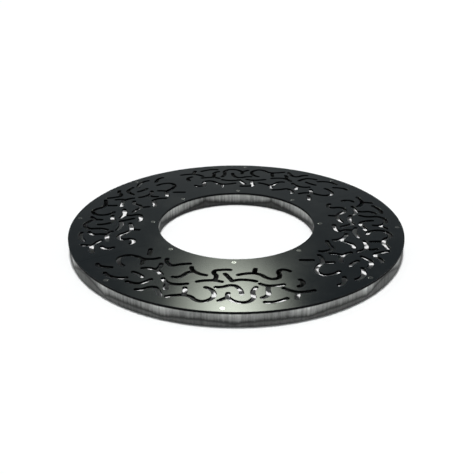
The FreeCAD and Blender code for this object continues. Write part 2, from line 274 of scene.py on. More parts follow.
@dataclass(frozen=True)
class PlateCoat(Finish):
    """Dark satin coat on the top plate, with a fine grain, faint dust, and edges lightened partly
    as rubbed wear and partly as a painted highlight.
    """

    name: str = "plate_coat"
    paint: Colour = (0.0036, 0.0062, 0.0082, 1.0)
    dust: Colour = (0.0085, 0.0110, 0.0125, 1.0)
    # Lighter colour on the edges: rubbed wear and a painted highlight
    rubbed_and_sheen: Colour = (0.030, 0.034, 0.035, 1.0)
    roughness: float = 0.14
    cloud: Noise = Noise(9.0, 4.0)
    fleck: Noise = Noise(240.0, 3.0)
    peel: Noise = Noise(650.0, 1.0)
    peel_depth: float = 0.008 * MM

    def sockets(self, recipe: Recipe) -> dict[str, Any]:
        """Clouds and flecks say where dust lies, the edge attribute where the coat is lightened,
        partly as rubbed wear and partly as a painted highlight.

        Args:
            recipe: the material's nodes.

        Returns:
            Values and wires for the shader's inputs.
        """
        place = recipe.place()
        cloud = recipe.noise(place, self.cloud)
        fleck = recipe.noise(place, self.fleck)
        edge = recipe.add("ShaderNodeAttribute", {"attribute_name": "edge"}, {}, "Fac")
        dusty = (cloud * 0.55 + fleck * 0.45).ramp(0.46, 0.66)
        # Edges lightened partly as rubbed wear, partly as a painted highlight along them
        worn_and_sheen = (edge * 0.8 + fleck * 0.6).ramp(0.86, 1.12)
        return {
            "Base Color": recipe.mix(worn_and_sheen, recipe.mix(dusty, self.paint, self.dust), self.rubbed_and_sheen),
            "Roughness": self.roughness + 0.03 * cloud + 0.02 * dusty + 0.1 * worn_and_sheen,
            "Normal": recipe.bump(recipe.noise(place, self.peel), self.peel_depth),
        }


@dataclass(frozen=True, kw_only=True)
class Blend(Finish):
    """Two colours that pass into each other in clouds, over a fine grain.

    Attributes:
        colours: the first colour and the second one.
        cloud: pattern of the clouds.
        grain: pattern of the grain.
        shares: parts of clouds and grain in the sum that leads to the second colour.
        ends: sums at which that colour begins and is full.
        roughness: roughness, and what clouds and grain add to it.
        depth: depth of the grain.
        metallic: how much it is bare metal.
        shine: how much it mirrors where it isn't.
    """

    colours: tuple[Colour, Colour]
    cloud: Noise
    grain: Noise
    shares: Pair
    ends: Pair
    roughness: Triple
    depth: float
    metallic: float = 0.0
    shine: float = 0.5

    def sockets(self, recipe: Recipe) -> dict[str, Any]:
        """Clouds and grain lead from one colour to the other and roughen them.

        Args:
            recipe: the material's nodes.

        Returns:
            Values and wires for the shader's inputs.
        """
        place = recipe.place()
        cloud, grain = recipe.noise(place, self.cloud), recipe.noise(place, self.grain)
        share = (cloud * self.shares[0] + grain * self.shares[1]).ramp(*self.ends)
        smooth, clouded, grained = self.roughness
        return {
            "Base Color": recipe.mix(share, *self.colours),
            "Metallic": self.metallic,
            "Roughness": smooth + clouded * cloud + grained * grain,
            "Specular IOR Level": self.shine,
            "Normal": recipe.bump(grain, self.depth),
        }


# Matt black of the cut walls and the underside, with scale and upright cutting marks
CUT_EDGE = Blend(
    name="cut_edge", colours=((0.0022, 0.0028, 0.0032, 1.0), (0.0070, 0.0078, 0.0080, 1.0)),
    cloud=Noise(40.0, 4.0), grain=Noise(900.0, upright=0.05), shares=(0.6, 0.4),
    ends=(0.42, 0.68), roughness=(0.6, 0.0, 0.25), depth=0.12 * MM, shine=0.06,
)
# Stainless steel of the plate screws, with a little grime
BRIGHT_SCREW = Blend(
    name="bright_screw", colours=((0.38, 0.38, 0.38, 1.0), (0.25, 0.25, 0.248, 1.0)),
    cloud=Noise(160.0, 3.0), grain=Noise(1400.0), shares=(0.7, 0.3),
    ends=(0.52, 0.72), roughness=(0.19, 0.0, 0.06), depth=0.01 * MM, metallic=1.0,
)
# Zinc plate on the seam bolts, washers and nuts, clouded and a little dull
ZINC_FASTENER = Blend(
    name="zinc_fastener", colours=((0.52, 0.53, 0.53, 1.0), (0.30, 0.31, 0.31, 1.0)),
    cloud=Noise(180.0, 4.0, 0.6), grain=Noise(1100.0), shares=(1.0, 0.0),
    ends=(0.4, 0.66), roughness=(0.34, 0.2, 0.0), depth=0.04 * MM, metallic=0.8,
)


@dataclass(frozen=True)
class Zinc(Finish):
    """Dipped zinc, with the patterns that all of it shows."""

    cells: float = 95.0
    cloud: Noise = Noise(26.0, 4.0, 0.6)
    streak: Noise = Noise(130.0, 3.0, upright=0.06)
    grit: Noise = Noise(420.0, 3.0, 0.6)
    pale: Colour = (0.42, 0.43, 0.42, 1.0)
    metallic: float = 0.35
    relief: float = 0.4 * MM

    def patterns(self, recipe: Recipe, place: Wire) -> tuple[Wire, ...]:
        """The patterns of the zinc, each from 0 to 1.

        Args:
            recipe: the material's nodes.
            place: where a point is.

        Returns:
            Spangle tone, clouds, upright streaks and grit.
        """
        cells = {"Vector": place, "Scale": self.cells}
        spangle = recipe.add("ShaderNodeTexVoronoi", {"feature": "F1"}, cells, "Color")
        clouded = (recipe.noise(place, kind) for kind in (self.cloud, self.streak, self.grit))
        return recipe.split(spangle)[0], *clouded


@dataclass(frozen=True)
class DippedZinc(Zinc):
    """Zinc on the bars, lugs and weld beads, with pale spangles and upright streaks."""

    name: str = "dipped_zinc"
    grey: Colour = (0.22, 0.23, 0.23, 1.0)

    def sockets(self, recipe: Recipe) -> dict[str, Any]:
        """The patterns add up and lead from grey to pale.

        Args:
            recipe: the material's nodes.

        Returns:
            Values and wires for the shader's inputs.
        """
        spangle, cloud, streak, grit = self.patterns(recipe, recipe.place())
        bright = (spangle * 0.35 + cloud * 0.5 + streak * 0.4 + grit * 0.25).ramp(0.5, 1.0)
        return {
            "Base Color": recipe.mix(bright, self.grey, self.pale),
            "Metallic": self.metallic,
            "Roughness": 0.62 - 0.14 * bright,
            "Normal": recipe.bump(cloud * 0.6 + grit * 0.4, self.relief),
        }


@dataclass(frozen=True, kw_only=True)
class BandZinc(Zinc):
    """Zinc on a rolled band: pale at the top and darker towards the bottom, below marks that repeat
    along it.

    The shade follows the height above the floor, less a lift that the marks give. The lift goes
    with powers of a share that is 0 in the middle of a repeat and 1 at its ends. On the outer band
    the arches rise further on the two sides seen from the camera, which is a painted reflection.
    The paler foot of the outer band is painted light from the floor, and the darkened top is a
    painted shadow under the plate's overhang.

    Attributes:
        repeats: how often the marks come in a full turn.
        start: share of a repeat at which the turn begins.
        runs: shape of the marks.
        broad: lift of the marks.
        narrow: further lift in the gaps between lobes, or of the arches on the two sides seen from
            the camera, a painted reflection.
        shades: grey at each share of the band's height; the paler foot of the outer band is painted
            light from the floor.
        height: height of the band.
        across: direction from one of those two sides to the other, across the camera's view.
        aside: how far out they begin, and where they are reached.
        lobe: power of the share in a lobe.
        gap: power of the share in a gap.
        dulling: how much duller an arch is.
        tint: factors on red, green and blue.
        fall: pattern of drawn-out clouds.
        joint: shares of the height at which the joint under the plate begins and ends.
        overhang_shadow: how much that joint is darkened, a painted shadow under the plate's
            overhang.
    """

    repeats: float
    start: float
    runs: MarkShape
    broad: float
    narrow: float
    shades: tuple[Pair, ...]
    height: float = 45.0 * MM
    across: Pair = (0.8625, -0.5061)
    aside: Pair = (0.33, 0.48)
    lobe: float = 1.6
    gap: float = 14.0
    dulling: float = 0.22
    tint: Triple = (1.0, 1.02, 0.99)
    fall: Noise = Noise(62.0, 3.0, 0.6, 0.12)
    joint: Pair = (0.93, 1.0)
    # Painted shadow under the plate's overhang, darkening the joint at the top of the band
    overhang_shadow: float = 0.6

    def marks(self, x: Wire, y: Wire) -> tuple[Wire, Any]:
        """What the repeating marks do at a place.

        Args:
            x: first coordinate of the place.
            y: second coordinate.

        Returns:
            How far they push the shades up, in metres, and their tone.
        """
        along = y.angle_over(x) * (self.repeats / (2.0 * math.pi)) + self.start
        share = abs(along.fraction() * 2.0 - 1.0)
        if self.runs is MarkShape.LOBES:
            return share ** self.lobe * self.broad + share ** self.gap * self.narrow, 1.0
        arch = 1.0 - share ** 2.0
        # Painted reflection: the arches rise further on the two sides seen from the camera
        out = abs(x * self.across[0] + y * self.across[1]).ramp(*self.aside)
        return arch * (self.broad + out * self.narrow), 1.0 - self.dulling * arch

    def sockets(self, recipe: Recipe) -> dict[str, Any]:
        """The shades lie by height, moved by lift and patterns, and the patterns set their tone.

        Args:
            recipe: the material's nodes.

        Returns:
            Values and wires for the shader's inputs.
        """
        place = recipe.place()
        x, y, z = recipe.split(place)
        spangle, cloud, streak, grit = self.patterns(recipe, place)
        lift, marked = self.marks(x, y)
        level = (z - lift) / self.height
        level = level + (cloud - 0.5) * 0.17 + (streak - 0.5) * 0.13 + (spangle - 0.5) * 0.05
        stops = [(at, (*(grey * part for part in self.tint), 1.0)) for at, grey in self.shades]
        run = recipe.add("ShaderNodeValToRGB", {"stops": stops}, {"Fac": level})
        tone = 0.24 + 0.74 * recipe.noise(place, self.fall) + 0.24 * cloud
        tone = tone + 0.16 * grit.ramp(0.35, 0.65) + 0.38 * streak.ramp(0.34, 0.66)
        # Painted shadow under the plate's overhang darkens the top of the band
        tone = tone * marked * (1.0 - self.overhang_shadow * (z / self.height).ramp(*self.joint))
        toned = {0: run, "Scale": tone}
        shaded = recipe.add("ShaderNodeVectorMath", {"operation": "SCALE"}, toned)
        bloom = (grit * 0.6 + streak * 0.4).ramp(0.52, 0.75) * level.ramp(0.1, 0.5) * 0.14
        return {
            "Base Color": recipe.mix(bloom, shaded, self.pale),
            "Metallic": self.metallic,
            "Roughness": 0.66 - 0.16 * level.ramp(0.3, 1.0),
            "Normal": recipe.bump(cloud * 0.6 + grit * 0.4, self.relief),
        }


# Outer band: darker towards the bottom, with arches that rise on the camera's two sides as a
# painted reflection
OUTER_BAND_ZINC = BandZinc(
    name="outer_band_zinc", repeats=17.0, start=0.70, runs=MarkShape.ARCHES,
    broad=9.0 * MM, narrow=20.0 * MM,
    shades=(
        # Paler foot of the greys: painted light from the floor
        (0.0, 0.145), (0.09, 0.145), (0.235, 0.036), (0.3, 0.06), (0.5, 0.275),
        (0.69, 0.37), (1.0, 0.63),
    ),
)
INNER_BAND_ZINC = BandZinc(
    name="inner_band_zinc", repeats=6.487, start=0.4594, runs=MarkShape.LOBES,
    broad=18.0 * MM, narrow=7.0 * MM,
    shades=(
        (0.0, 0.048), (0.1, 0.022), (0.22, 0.028), (0.335, 0.132), (0.55, 0.318),
        (0.69, 0.362), (0.87, 0.505), (1.0, 0.565),
    ),
)


@dataclass(frozen=True)
class FloorPaper(Finish):
    """White studio paper."""

    name: str = "floor_paper"
    white: Colour = (0.98, 0.98, 0.98, 1.0)
    SHADER = "ShaderNodeBsdfDiffuse"

    def sockets(self, recipe: Recipe) -> dict[str, Any]:
        """Plain white."""
        return {"Color": self.white}


@dataclass
class Surface:
    """Points and faces of a piece, as arrays.

    Attributes:
        points: one row of x, y and z for each point.
        quads: four point numbers for each four-sided face.
        triangles: three point numbers for each triangle.
        flat: which triangles are shaded flat.
        finish: which of the piece's materials each face has, quads first.
        edge: how much each point is an outer edge, from 0 to 1.
    """

    points: np.ndarray
    quads: np.ndarray = field(default_factory=lambda: np.empty((0, 4), int))
    triangles: np.ndarray = field(default_factory=lambda: np.empty((0, 3), int))
    flat: np.ndarray | None = None
    finish: np.ndarray | None = None
    edge: np.ndarray | None = None

    @classmethod
    def from_grid(cls, grid: np.ndarray, closed: bool = True) -> "Surface":
        """Joins the points of a grid into quads.

        Args:
            grid: rows by columns by 3; faces look to the left of a row's run, seen along it.
            closed: whether the last column joins the first.

        Returns:
            The surface.
        """
        rows, columns = grid.shape[:2]
        index = np.arange(rows * columns).reshape(rows, columns)
        if closed:
            index = np.concatenate([index, index[:, :1]], axis=1)
        corners = [index[:-1, :-1], index[1:, :-1], index[1:, 1:], index[:-1, 1:]]
        return cls(grid.reshape(-1, 3), np.stack(corners, axis=-1).reshape(-1, 4))

    @classmethod
    def joined(cls, parts: Sequence["Surface"]) -> "Surface":
        """Several surfaces as one.

        Args:
            parts: the surfaces.

        Returns:
            Their points and faces together.
        """
        starts = np.cumsum([0] + [len(part.points) for part in parts[:-1]])
        return cls(
            np.concatenate([part.points for part in parts]),
            np.concatenate([part.quads + start for part, start in zip(parts, starts)]),
            np.concatenate([part.triangles + start for part, start in zip(parts, starts)]),
        )

    def moved(self, offset: Sequence[float]) -> "Surface":
        """The same surface, shifted."""
        return replace(self, points=self.points + np.asarray(offset))

    def turned(self, half: Half) -> "Surface":
        """The same surface in the other half's place."""
        return replace(self, points=self.points * half.turn)

    def piece(
        self, name: str, *materials: bpy.types.Material, sharp: float = 35.0
    ) -> bpy.types.Object:
        """Puts the arrays into a mesh and the mesh into the scene.

        Args:
            name: the piece's name.
            materials: its finishes.
            sharp: angle in degrees past which an edge between faces is sharp.

        Returns:
            The new object, at the origin.
        """
        mesh = bpy.data.meshes.new(name)
        corners = np.concatenate([self.quads.ravel(), self.triangles.ravel()])
        sizes = np.repeat([4, 3], [len(self.quads), len(self.triangles)])
        smooth = np.ones(len(sizes), bool)
        if self.flat is not None:
            smooth[len(self.quads):] = ~self.flat
        mesh.vertices.add(len(self.points))
        mesh.vertices.foreach_set("co", self.points.astype(np.float32).ravel())
        mesh.loops.add(len(corners))
        mesh.loops.foreach_set("vertex_index", corners.astype(np.int32))
        mesh.polygons.add(len(sizes))
        mesh.polygons.foreach_set("loop_start", (np.cumsum(sizes) - sizes).astype(np.int32))
        mesh.polygons.foreach_set("use_smooth", smooth)
        if self.finish is not None:
            mesh.polygons.foreach_set("material_index", self.finish.astype(np.int32))
        if self.edge is not None:
            layer = mesh.attributes.new("edge", "FLOAT", "POINT")
            layer.data.foreach_set("value", self.edge.astype(np.float32))
        mesh.update(calc_edges=True)
        close_poles(mesh)
        smooth = np.empty(len(mesh.polygons), bool)
        mesh.polygons.foreach_get("use_smooth", smooth)
        mesh.set_sharp_from_angle(angle=math.radians(sharp))
        mesh.polygons.foreach_set("use_smooth", smooth)
        for material in materials:
            mesh.materials.append(material)
        made = bpy.data.objects.new(name, mesh)
        bpy.context.scene.collection.objects.link(made)
        return made


def close_poles(mesh: bpy.types.Mesh) -> None:
    """Merges points that lie on each other, so that poles and seams are closed.

    Args:
        mesh: the mesh, which is changed.
    """
    work = bmesh.new()
    work.from_mesh(mesh)
    bmesh.ops.remove_doubles(work, verts=work.verts, dist=SAME_PLACE)
    work.to_mesh(mesh)
    work.free()


def turn_steps(sides: int) -> np.ndarray:
    """Angles of even steps round a full turn."""
    return np.linspace(0.0, 2.0 * math.pi, sides, endpoint=False)


def lathe(rows: Sequence[tuple[Any, Any]], sides: int) -> Surface:
    """Profile carried round the upright axis.

    A point is the profile's radius in the direction of its angle, at the profile's height.

    Args:
        rows: radius and height of each step from the top on, one number or one for each angle.
        sides: number of steps round.

    Returns:
        The surface.
    """
    radius, height = (
        np.array([np.broadcast_to(value, sides) for value in part]) for part in zip(*rows)
    )
    angle = turn_steps(sides)
    ring = [radius * np.cos(angle), radius * np.sin(angle), height]
    return Surface.from_grid(np.stack(ring, axis=-1))


def hexagon(flats: float, sides: int) -> np.ndarray:
    """Radius of a hexagon: half its width over the cosine of the angle from a flat's middle."""
    angle = turn_steps(sides) % (math.pi / 3.0) - math.pi / 6.0
    return 0.5 * flats / np.cos(angle)


@dataclass(frozen=True)
class Thread:
    """Threaded end of an upright screw or bolt.

    Attributes:
        radius: radius of the crests.
        depth: how much deeper the roots lie.
        pitch: height of one turn.
        top: height at which the thread begins.
        tip: height of the end.
        blunt: height of the cone at the end.
        flat: radius of the flat end, as a share of the whole.
        slim: how much of its depth the thread narrows by towards the end.
        rings: steps to each pitch.
    """

    radius: float
    depth: float
    pitch: float
    top: float
    tip: float
    blunt: float = 0.4 * MM
    flat: float = 0.6
    slim: float = 0.65
    rings: int = 8

    def surface(self, sides: int) -> Surface:
        """Threaded shank and its blunt end.

        The radius falls and rises once along a pitch, and a turn round moves that by a pitch.

        Args:
            sides: number of steps round.

        Returns:
            The surface, closed at the tip.
        """
        turns = (self.top - self.tip) / self.pitch
        height = np.linspace(self.top, self.tip + self.blunt, round(self.rings * turns))
        share = turn_steps(sides)[None, :] / (2.0 * math.pi)
        wave = np.abs(((height[:, None] / self.pitch - share) % 1.0) - 0.5) * 2.0
        ends = np.clip((self.top - height) / self.pitch, 0.0, 1.0)[:, None]
        point = np.clip((height - self.tip) / (2.0 * self.pitch), 1.0 - self.slim, 1.0)[:, None]
        radius = self.radius - self.depth * (wave * ends + 1.0 - point)
        foot = [(self.flat * self.radius, self.tip), (0.0, self.tip)]
        return lathe([*zip(radius, height), *foot], sides)


def inside(points: np.ndarray, loop: np.ndarray) -> np.ndarray:
    """Tells which points lie in a closed loop.

    A level line from such a point crosses the loop an odd number of times.

    Args:
        points: places in the plane, as complex numbers.
        loop: corners in order, as complex numbers.

    Returns:
        A truth value for each point.
    """
    found = np.zeros(len(points), bool)
    near = (points.real > loop.real.min()) & (points.real < loop.real.max())
    near &= (points.imag > loop.imag.min()) & (points.imag < loop.imag.max())
    place = points[near][:, None]
    start, end = loop[None, :], np.roll(loop, -1)[None, :]
    spans = (start.imag > place.imag) != (end.imag > place.imag)
    rise = np.where(start.imag == end.imag, 1.0, end.imag - start.imag)
    across = start.real + (end.real - start.real) * (place.imag - start.imag) / rise
    found[near] = np.sum(spans & (place.real < across), axis=1) % 2 == 1
    return found


def enlist(made: bpy.types.Object, body: str, slot: Slot, *nodes: str) -> None:
    """Says what a finished piece belongs to, and reports it.

    Args:
        made: the piece.
        body: the body it rides on.
        slot: its material slot, which is not used.
        nodes: the nodes it stands for.
    """
    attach(made, body)
    if nodes:
        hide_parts(*nodes)
    LOG.info("%s: %d faces, rides on %s", made.name, len(made.data.polygons), body)


@dataclass(frozen=True)
class SlotPattern:
    """Wavy forked slots of one quarter of the plate, drawn across and outward in millimetres."""

    width: float = 15.5 * MM
    step: float = 3.5 * MM
    cap_steps: int = 13
    span_steps: int = 24
    least_steps: int = 3
    slots: tuple[tuple[Pair, ...], ...] = (
        ((-226, 277), (-216, 315)),
        (
            (-270, 407), (-293, 388), (-303, 361), (-283, 337),
            (-252, 337), (-222, 347), (-196, 342), (-176, 329),
        ),
        ((-148, 328), (-137, 354), (-120, 366), (-93, 352), (-66, 341)),
        ((-53, 362), (-43, 380), (-24, 393), (6, 400)),
        ((-203, 407), (-180, 401), (-158, 407), (-130, 431)),
        ((-223, 437), (-203, 445), (-184, 458)),
        ((-117, 452), (-104, 467), (-87, 476), (-62, 475), (-35, 465)),
        ((-307, 465), (-288, 479), (-260, 484), (-230, 476)),
        ((-219, 497), (-196, 502), (-176, 499), (-163, 485), (-151, 467)),
        ((-173, 535), (-155, 529), (-139, 513), (-122, 509), (-108, 523), (-91, 549)),
        (
            (-70, 550), (-46, 537), (-20, 530), (0, 534), (16, 546),
            (36, 551), (56, 539), (65, 516), (58, 492), (27, 471),
        ),
        ((95, 415), (116, 401), (140, 396), (166, 397)),
        ((-8, 444), (14, 432), (38, 425), (65, 427)),
        (
            (104, 373), (126, 358), (150, 350), (174, 355), (194, 368), (213, 371),
            (229, 360), (230, 342), (222, 324), (226, 308), (240, 303), (255, 308),
        ),
        ((57, 462), (76, 456), (92, 443), (109, 439), (125, 450), (142, 480)),
        (
            (102, 487), (106, 506), (121, 521), (146, 528),
            (171, 519), (181, 500), (171, 455), (175, 432),
        ),
        ((183, 409), (208, 414), (232, 406), (253, 395)),
        ((220, 508), (244, 501), (264, 486), (278, 471)),
        ((257, 416), (279, 425), (303, 428), (327, 419), (349, 405)),
        ((297, 353), (307, 364), (309, 379), (300, 394)),
        ((-355, 417), (-346, 426), (-325, 429), (-302, 427)),
    )
    forks: tuple[tuple[Pair, ...], ...] = (
        ((-220, 348), (-219, 364), (-214, 382)),
        ((-36, 388), (-54, 397), (-61, 414), (-71, 430), (-90, 436)),
        ((-158, 406), (-153, 386), (-155, 365)),
        ((-91, 475), (-93, 495), (-85, 511)),
        ((-24, 530), (-26, 510), (-33, 489)),
        ((95, 415), (78, 394), (62, 377)),
        ((41, 425), (41, 408), (37, 392), (27, 382), (25, 368), (44, 355), (71, 348)),
        ((150, 350), (147, 322)),
        ((107, 508), (87, 534)),
        ((210, 414), (213, 438), (220, 461), (207, 486)),
        ((302, 428), (305, 447), (306, 464)),
    )

    def centreline(self, drawn: Sequence[Pair]) -> tuple[np.ndarray, np.ndarray]:
        """Smooth line through drawn points, evenly stepped.

        Each span is a cubic whose end directions are those of the circles through neighbouring
        points, with handles of the length that makes a span of a circle round.

        Args:
            drawn: the points, across and outward.

        Returns:
            Places and unit directions along the line, as complex numbers in metres.
        """
        across, outward = np.array(drawn, float).T * MM
        points = (outward + 1j * across) * np.exp(0.25j * math.pi)
        chords = np.diff(points)
        lengths = np.abs(chords)
        units = chords / lengths
        inner = units[:-1] * lengths[1:] + units[1:] * lengths[:-1]
        inner = inner / np.abs(inner)
        ends = units[[0, -1]]
        if len(inner):
            ends = ends ** 2 * np.conj(inner[[0, -1]])
        heading = np.concatenate([ends[:1], inner, ends[1:]])
        turn = np.angle(heading[1:] / heading[:-1])
        reach = (lengths / np.cos(0.25 * turn) ** 2)[:, None]
        t = np.linspace(0.0, 1.0, self.span_steps, endpoint=False)[None, :]
        first, last = points[:-1, None], points[1:, None]
        line = first * (2 * t**3 - 3 * t**2 + 1) + last * (3 * t**2 - 2 * t**3)
        line = line + reach * heading[:-1, None] * (t**3 - 2 * t**2 + t)
        line = line + reach * heading[1:, None] * (t**3 - t**2)
        line = np.append(line.ravel(), points[-1])
        run = np.concatenate([[0.0], np.cumsum(np.abs(np.diff(line)))])
        count = max(self.least_steps, math.ceil(run[-1] / self.step))
        even = np.linspace(0.0, run[-1], count)
        path = np.interp(even, run, line.real) + 1j * np.interp(even, run, line.imag)
        way = np.gradient(line, run)
        way = np.interp(even, run, way.real) + 1j * np.interp(even, run, way.imag)
        return path, way / np.abs(way)

    def outline(self, drawn: Sequence[Pair], spread: float) -> np.ndarray:
        """Loop round a slot: its centreline moved to both sides, with half circles at the ends.

        Args:
            drawn: the slot's points, across and outward.
            spread: how far outside the slot's own edge the loop lies.

        Returns:
            The loop, as complex numbers in metres.
        """
        path, way = self.centreline(drawn)
        side = 1j * way * (0.5 * self.width + spread)
        bend = np.exp(1j * np.linspace(0.0, math.pi, self.cap_steps)[1:-1])
        far_end = path[-1] - side[-1] * bend
        near_end = path[0] + side[0] * bend
        return np.concatenate([path - side, far_end, (path + side)[::-1], near_end])

    def loops(self, spread: float) -> list[np.ndarray]:
        """Every outline of half a, which is two quarters."""
        quarter = [self.outline(drawn, spread) for drawn in self.slots + self.forks]
        return quarter + [1j * loop for loop in quarter]


@dataclass(frozen=True)
class ScrewLayout:
    """Where the plate screws stand in half a."""

    inner_radius: float = 305.2 * MM
    inner_angles: tuple[float, ...] = (13.2, 58.2, 103.2, 148.2)
    outer_radius: float = 581.0 * MM
    outer_angles: tuple[float, ...] = (15.7, 55.7, 105.7, 145.7)

    def centres(self) -> np.ndarray:
        """The eight places.

        Returns:
            Complex numbers, the inner ring first.
        """
        inner = self.inner_radius * np.exp(1j * np.radians(self.inner_angles))
        outer = self.outer_radius * np.exp(1j * np.radians(self.outer_angles))
        return np.concatenate([inner, outer])


@dataclass
class TopPlate:
    """The slotted plate, in two halves, with rounded upper edges and countersunk holes.

    Attributes:
        coat: finish of the top.
        cut_edge: finish of the walls and the underside.
        rounding: radius of the upper edges.
        halfway: share of it that is left where an edge has turned halfway.
        burr: how much higher than the underside the lower edges lie.
        burr_halfway: share of that at the next step inward.
        rubbing_and_sheen: how much the coat is lightened at each step, as rubbed wear and as a
            painted highlight.
        head_hole: radius of a screw hole's cone at the top.
        hole_room: factor on it within which a point belongs to the hole.
        tolerance: distance under which the filling takes points as one.
    """

    coat: bpy.types.Material
    cut_edge: bpy.types.Material
    radius: float = 600.0 * MM
    opening: float = 282.5 * MM
    underside: float = 45.0 * MM
    thickness: float = 8.0 * MM
    seam_gap: float = 0.6 * MM
    rounding: float = 0.4 * MM
    halfway: float = 1.0 - math.sqrt(0.5)
    burr: float = 0.3 * MM
    burr_halfway: float = 0.3
    # Edge lightening at each step: rubbed wear and a painted highlight
    rubbing_and_sheen: Triple = (1.0, 0.8, 0.0)
    head_hole: float = 8.2 * MM
    hole_room: float = 1.05
    shank_hole: float = 4.5 * MM
    hole_sides: int = 32
    outer_steps: int = 361
    inner_steps: int = 181
    tolerance: float = 1e-8
    pattern: SlotPattern = field(default_factory=SlotPattern)
    screws: ScrewLayout = field(default_factory=ScrewLayout)

    def arcs(self, inset: float) -> list[np.ndarray]:
        """Border arcs of half a, from seam to seam.

        Args:
            inset: how far they are moved into the metal.

        Returns:
            The outer and the inner arc, as complex numbers.
        """
        found = []
        borders = (self.radius - inset, self.outer_steps), (self.opening + inset, self.inner_steps)
        for radius, steps in borders:
            start = math.asin(0.5 * self.seam_gap / radius)
            found.append(radius * np.exp(1j * np.linspace(start, math.pi - start, steps)))
        return found

    def curve(self, size: float, middle: float) -> np.ndarray:
        """A size at the edge, a share of it at the next step, and nothing on the flat."""
        return size * np.array([1.0, middle, 0.0])

    def chains(self) -> list[tuple[int, bool, np.ndarray]]:
        """Lines that the plate's faces keep to.

        Step 0 is the edge itself, step 1 lies where the rounding has turned halfway, and step 2
        is where the flat begins. Seam faces and screw holes are sharp, so they only have step 2.

        Returns:
            Step, whether the line is closed, and its points.
        """
        found = []
        insets = self.curve(self.rounding, self.halfway)[::-1]
        for step, inset in enumerate(insets):
            found += [(step, False, arc) for arc in self.arcs(inset)]
            found += [(step, True, loop) for loop in self.pattern.loops(inset)]
        outer, inner = self.arcs(0.0)
        found += [(2, False, np.array([outer[end], inner[end]])) for end in (0, -1)]
        return found + [(2, True, loop) for loop in self.hole_loops()]

    def hole_loops(self) -> list[np.ndarray]:
        """Rims of the screw holes of half a."""
        ring = self.head_hole * np.exp(1j * turn_steps(self.hole_sides))
        return [centre + ring for centre in self.screws.centres()]

    def triangulate(self) -> tuple[np.ndarray, np.ndarray, np.ndarray]:
        """Fills the plate's outline with triangles.

        Returns:
            Places in the plane as complex numbers, the step of each on the rounded edge, and
            the triangles that are metal.
        """
        chains = self.chains()
        sizes = np.array([len(line) for _, _, line in chains])
        steps = np.repeat([step for step, _, _ in chains], sizes)
        closed = np.repeat([shut for _, shut, _ in chains], sizes)
        first = np.repeat(np.cumsum(sizes) - sizes, sizes)
        count = np.repeat(sizes, sizes)
        index = np.arange(len(first))
        kept = closed | (index - first + 1 < count)
        edges = np.stack([index, first + (index - first + 1) % count], axis=1)[kept]
        flat = np.concatenate([line for _, _, line in chains])
        plane = np.stack([flat.real, flat.imag], axis=1)
        corners = [Vector(p) for p in plane]
        result = delaunay_2d_cdt(corners, edges.tolist(), [], 0, self.tolerance, True)
        points = np.array([tuple(p) for p in result[0]]) @ np.array([1.0, 1j])
        out_edges, triangles = np.array(result[1]), np.array(result[2])
        shares = np.array([len(group) for group in result[4]])
        source = np.fromiter(chain.from_iterable(result[4]), int)
        owners = np.repeat(out_edges, shares, axis=0)
        step = np.full(len(points), 2)
        np.minimum.at(step, owners.ravel(), np.repeat(steps[kept][source], 2))
        middle = points[triangles].mean(axis=1)
        outer, inner = self.arcs(0.0)
        metal = inside(middle, np.concatenate([outer, inner[::-1]]))
        for loop in self.pattern.loops(0.0) + self.hole_loops():
            metal &= ~inside(middle, loop)
        return points, step, triangles[metal]

    def half_surface(self) -> Surface:
        """Half a as one closed surface.

        The filled outline is the top and, turned over, the underside. Height at each step of
        the rounded edge follows a quarter circle. Each free edge of the top carries a wall, or
        at a screw hole a cone, a bore and a ring.

        Returns:
            The surface.
        """
        places, step, top = self.triangulate()
        used, top = np.unique(top, return_inverse=True)
        top = top.reshape(-1, 3)
        places, step = places[used], step[used]
        count = len(places)
        upper = self.underside + self.thickness - self.curve(self.rounding, self.halfway)[step]
        lower = self.underside + self.curve(self.burr, self.burr_halfway)[step]

        sides = np.concatenate([top[:, [0, 1]], top[:, [1, 2]], top[:, [2, 0]]])
        keys = np.sort(sides, axis=1) @ np.array([count, 1])
        _, back, uses = np.unique(keys, return_inverse=True, return_counts=True)
        rim = sides[uses[back] == 1]
        gaps = np.abs(places[:, None] - self.screws.centres()[None, :])
        at_hole = gaps.min(axis=1) < self.hole_room * self.head_hole
        hole = at_hole[rim].all(axis=1)
        start, end = rim[~hole].T
        walls = np.stack([start + count, end + count, end, start], axis=1)

        ring = np.unique(rim[hole])
        centre = self.screws.centres()[gaps[ring].argmin(axis=1)]
        bore = centre + (places[ring] - centre) * (self.shank_hole / self.head_hole)
        cone_foot = self.underside + self.thickness - (self.head_hole - self.shank_hole)
        number = np.zeros(count, int)
        number[ring] = np.arange(len(ring)) + 2 * count
        start, end = rim[hole].T
        upper_start, upper_end = number[start], number[end]
        lower_start, lower_end = upper_start + len(ring), upper_end + len(ring)
        cone = np.stack([upper_start, upper_end, end, start], axis=1)
        shaft = np.stack([lower_start, lower_end, upper_end, upper_start], axis=1)
        foot = np.stack([start + count, end + count, lower_end, lower_start], axis=1)

        plan = np.concatenate([places, places, bore, bore])
        height = np.concatenate(
            [upper, lower, np.full(len(ring), cone_foot), np.full(len(ring), self.underside)]
        )
        points = np.stack([plan.real, plan.imag, height], axis=1)
        triangles = np.concatenate([top, top[:, ::-1] + count])
        level = (step[top] == 2).all(axis=1)
        edge = np.concatenate([np.array(self.rubbing_and_sheen)[step], np.zeros(count + 2 * len(ring))])
        quads = np.concatenate([walls, cone, shaft, foot])
        finish = np.repeat([1, 0, 1], [len(quads), len(top), len(top)])
        return Surface(points, quads, triangles, np.concatenate([level, level]), finish, edge)

    def build(self) -> None:
        """Makes both halves."""
        surface = self.half_surface()
        for half in Half:
            name = f"slotted_plate_{half.letter}"
            made = surface.turned(half).piece(name, self.coat, self.cut_edge)
            enlist(made, half.body, Slot.PLATE, f"plate_half_{half.letter}")


